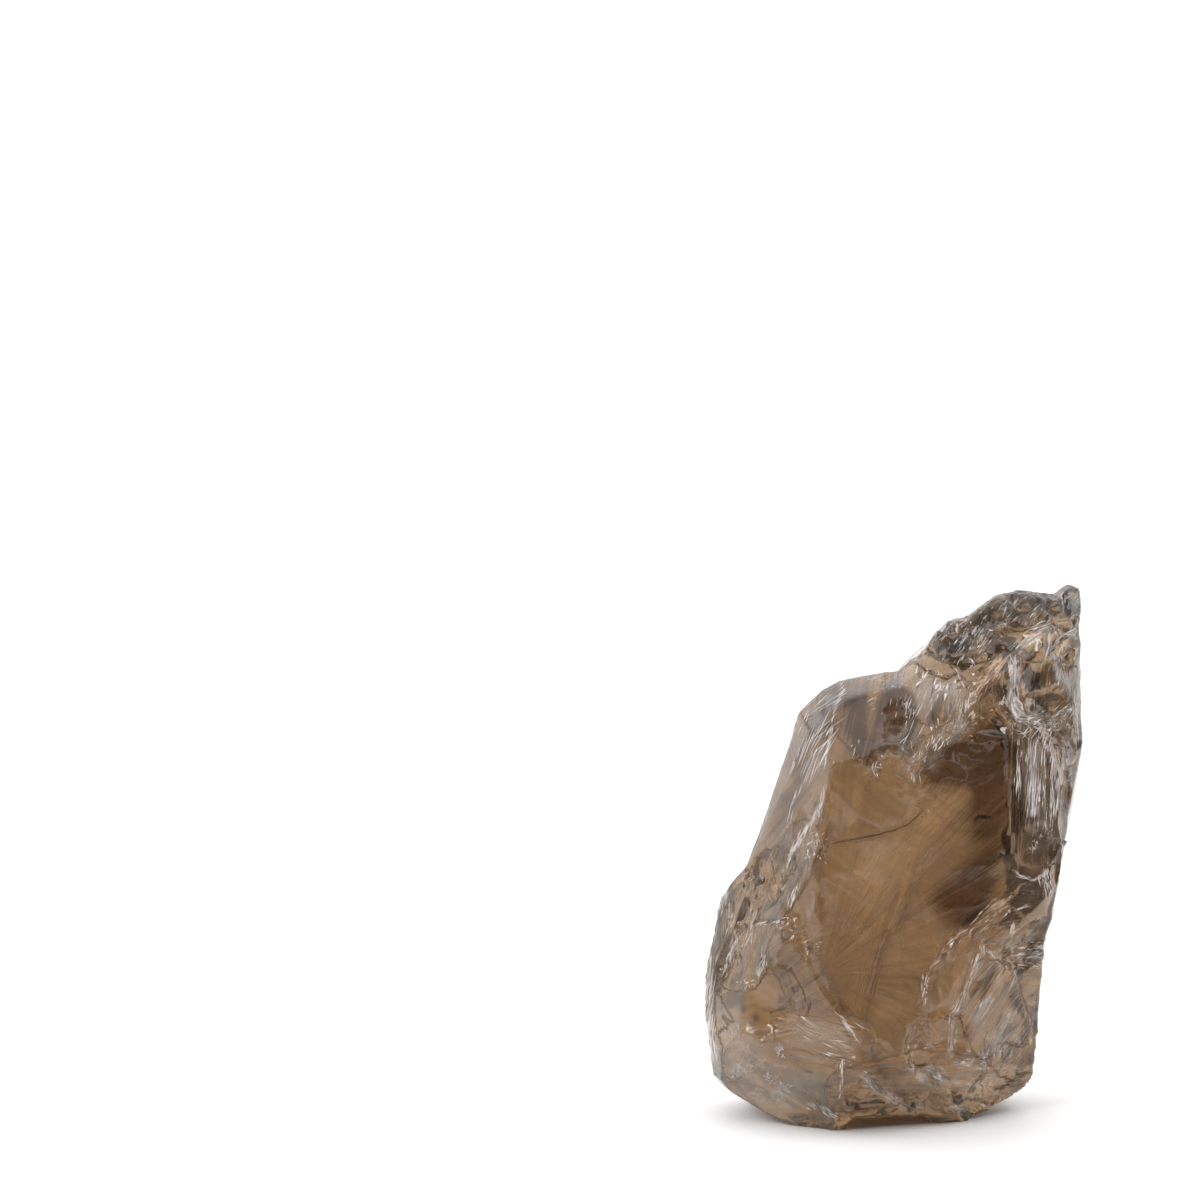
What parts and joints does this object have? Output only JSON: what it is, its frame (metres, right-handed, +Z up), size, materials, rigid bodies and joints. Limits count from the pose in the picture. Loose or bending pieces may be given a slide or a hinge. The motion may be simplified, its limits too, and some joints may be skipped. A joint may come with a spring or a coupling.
{
  "type": "smoky quartz crystal",
  "caption": "Rough broken piece of clear brown smoky quartz with concave fracture faces and chipped edges, standing upright on a flat broken foot.",
  "frame": {"origin": "on the surface the stone stands on, under the middle of its width and depth", "axes": "+Z up along the stone's length, +X to the right and -Y towards the viewer of its front face"},
  "size_m": [0.045, 0.0282, 0.0644],
  "materials": {
    "quartz": "clear smoky brown, polished-looking fracture faces with dull white bruised edges"
  },
  "bodies": {
    "root": {"smoky_quartz": "quartz"}
  },
  "joints": []
}
